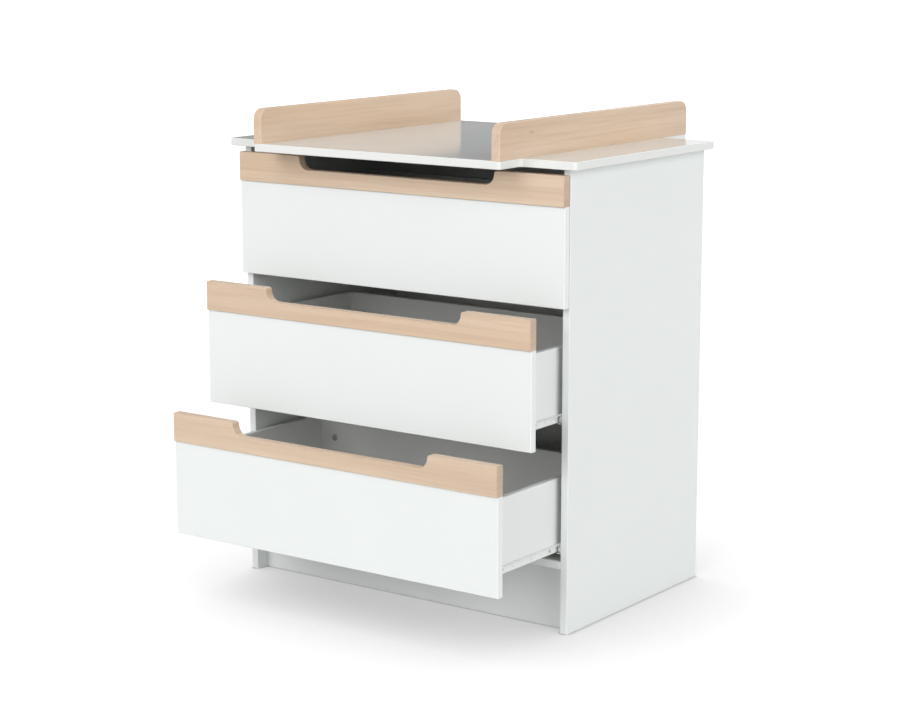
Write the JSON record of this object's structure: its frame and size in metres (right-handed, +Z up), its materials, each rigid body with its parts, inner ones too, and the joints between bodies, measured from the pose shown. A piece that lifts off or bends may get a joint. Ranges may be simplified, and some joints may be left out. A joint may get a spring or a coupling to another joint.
{
  "type": "changing dresser",
  "caption": "Changing dresser: a chest of drawers on roller runners with wooden pull rails, under a top that reaches out at front and back between two upright guard boards",
  "frame": {"origin": "on the floor, under the middle of the plinth board's underside, halfway between the side panels", "axes": "+X to the right seen from the front, +Y to the back, +Z up; the drawers open towards -Y"},
  "size_m": [0.848, 0.837, 0.99],
  "materials": {
    "white_board": "white melamine foil on chipboard, satin",
    "wood": "pale beech, clear matt lacquer",
    "sheet": "white painted hardboard",
    "runner_steel": "white powder coat on folded steel",
    "roller": "white nylon",
    "fitting": "zinc plated"
  },
  "bodies": {
    "carcass": {"side_panel_left": "white_board", "guard_board_left": "wood", "side_panel_right": "white_board", "guard_board_right": "wood", "bottom_panel": "white_board", "plinth_board": "white_board", "top_board": "white_board", "back_sheet": "sheet", "carcass_runner_top_left": "runner_steel", "carcass_runner_top_right": "runner_steel", "carcass_runner_middle_left": "runner_steel", "carcass_runner_middle_right": "runner_steel", "carcass_runner_bottom_left": "runner_steel", "carcass_runner_bottom_right": "runner_steel"},
    "drawer_top": {"drawer_top_front": "white_board", "drawer_top_rail": "wood", "drawer_top_back": "white_board", "drawer_top_bottom": "sheet", "drawer_side_top_left": "white_board", "drawer_runner_top_left": "runner_steel", "drawer_side_top_right": "white_board", "drawer_runner_top_right": "runner_steel"},
    "front_roller_top_left": {"carcass_roller_top_left": "roller"},
    "rear_roller_top_left": {"drawer_roller_top_left": "roller"},
    "front_roller_top_right": {"carcass_roller_top_right": "roller"},
    "rear_roller_top_right": {"drawer_roller_top_right": "roller"},
    "drawer_middle": {"drawer_middle_front": "white_board", "drawer_middle_rail": "wood", "drawer_middle_back": "white_board", "drawer_middle_bottom": "sheet", "drawer_side_middle_left": "white_board", "drawer_runner_middle_left": "runner_steel", "drawer_side_middle_right": "white_board", "drawer_runner_middle_right": "runner_steel"},
    "front_roller_middle_left": {"carcass_roller_middle_left": "roller"},
    "rear_roller_middle_left": {"drawer_roller_middle_left": "roller"},
    "front_roller_middle_right": {"carcass_roller_middle_right": "roller"},
    "rear_roller_middle_right": {"drawer_roller_middle_right": "roller"},
    "drawer_bottom": {"drawer_bottom_front": "white_board", "drawer_bottom_rail": "wood", "drawer_bottom_back": "white_board", "drawer_bottom_bottom": "sheet", "drawer_side_bottom_left": "white_board", "drawer_runner_bottom_left": "runner_steel", "drawer_side_bottom_right": "white_board", "drawer_runner_bottom_right": "runner_steel"},
    "front_roller_bottom_left": {"carcass_roller_bottom_left": "roller"},
    "rear_roller_bottom_left": {"drawer_roller_bottom_left": "roller"},
    "front_roller_bottom_right": {"carcass_roller_bottom_right": "roller"},
    "rear_roller_bottom_right": {"drawer_roller_bottom_right": "roller"}
  },
  "joints": [
    {"name": "drawer_top_slide", "type": "slide", "parent": "carcass", "child": "drawer_top", "axis": [0, -1, 0], "range_m": [0, 0.3]},
    {"name": "front_roller_top_left_turn", "type": "hinge", "parent": "carcass", "child": "front_roller_top_left", "pos_m": [-0.3796, -0.0285, 0.68], "axis": [1, 0, 0], "continuous": true},
    {"name": "rear_roller_top_left_turn", "type": "hinge", "parent": "drawer_top", "child": "rear_roller_top_left", "pos_m": [-0.3759, 0.366, 0.68075], "axis": [1, 0, 0], "continuous": true},
    {"name": "front_roller_top_right_turn", "type": "hinge", "parent": "carcass", "child": "front_roller_top_right", "pos_m": [0.3796, -0.0285, 0.68], "axis": [1, 0, 0], "continuous": true},
    {"name": "rear_roller_top_right_turn", "type": "hinge", "parent": "drawer_top", "child": "rear_roller_top_right", "pos_m": [0.3759, 0.366, 0.68075], "axis": [1, 0, 0], "continuous": true},
    {"name": "drawer_middle_slide", "type": "slide", "parent": "carcass", "child": "drawer_middle", "axis": [0, -1, 0], "range_m": [-0.109, 0.191]},
    {"name": "front_roller_middle_left_turn", "type": "hinge", "parent": "carcass", "child": "front_roller_middle_left", "pos_m": [-0.3796, -0.0285, 0.424], "axis": [1, 0, 0], "continuous": true},
    {"name": "rear_roller_middle_left_turn", "type": "hinge", "parent": "drawer_middle", "child": "rear_roller_middle_left", "pos_m": [-0.3759, 0.257, 0.42475], "axis": [1, 0, 0], "continuous": true},
    {"name": "front_roller_middle_right_turn", "type": "hinge", "parent": "carcass", "child": "front_roller_middle_right", "pos_m": [0.3796, -0.0285, 0.424], "axis": [1, 0, 0], "continuous": true},
    {"name": "rear_roller_middle_right_turn", "type": "hinge", "parent": "drawer_middle", "child": "rear_roller_middle_right", "pos_m": [0.3759, 0.257, 0.42475], "axis": [1, 0, 0], "continuous": true},
    {"name": "drawer_bottom_slide", "type": "slide", "parent": "carcass", "child": "drawer_bottom", "axis": [0, -1, 0], "range_m": [-0.216, 0.084]},
    {"name": "front_roller_bottom_left_turn", "type": "hinge", "parent": "carcass", "child": "front_roller_bottom_left", "pos_m": [-0.3796, -0.0285, 0.168], "axis": [1, 0, 0], "continuous": true},
    {"name": "rear_roller_bottom_left_turn", "type": "hinge", "parent": "drawer_bottom", "child": "rear_roller_bottom_left", "pos_m": [-0.3759, 0.15, 0.16875], "axis": [1, 0, 0], "continuous": true},
    {"name": "front_roller_bottom_right_turn", "type": "hinge", "parent": "carcass", "child": "front_roller_bottom_right", "pos_m": [0.3796, -0.0285, 0.168], "axis": [1, 0, 0], "continuous": true},
    {"name": "rear_roller_bottom_right_turn", "type": "hinge", "parent": "drawer_bottom", "child": "rear_roller_bottom_right", "pos_m": [0.3759, 0.15, 0.16875], "axis": [1, 0, 0], "continuous": true}
  ],
  "couplings": [
    {"joint": "front_roller_top_left_turn", "follows": "drawer_top_slide", "rad_per_m": 133.33},
    {"joint": "rear_roller_top_left_turn", "follows": "drawer_top_slide", "rad_per_m": 121.21},
    {"joint": "front_roller_top_right_turn", "follows": "drawer_top_slide", "rad_per_m": 133.33},
    {"joint": "rear_roller_top_right_turn", "follows": "drawer_top_slide", "rad_per_m": 121.21},
    {"joint": "front_roller_middle_left_turn", "follows": "drawer_middle_slide", "rad_per_m": 133.33},
    {"joint": "rear_roller_middle_left_turn", "follows": "drawer_middle_slide", "rad_per_m": 121.21},
    {"joint": "front_roller_middle_right_turn", "follows": "drawer_middle_slide", "rad_per_m": 133.33},
    {"joint": "rear_roller_middle_right_turn", "follows": "drawer_middle_slide", "rad_per_m": 121.21},
    {"joint": "front_roller_bottom_left_turn", "follows": "drawer_bottom_slide", "rad_per_m": 133.33},
    {"joint": "rear_roller_bottom_left_turn", "follows": "drawer_bottom_slide", "rad_per_m": 121.21},
    {"joint": "front_roller_bottom_right_turn", "follows": "drawer_bottom_slide", "rad_per_m": 133.33},
    {"joint": "rear_roller_bottom_right_turn", "follows": "drawer_bottom_slide", "rad_per_m": 121.21}
  ]
}
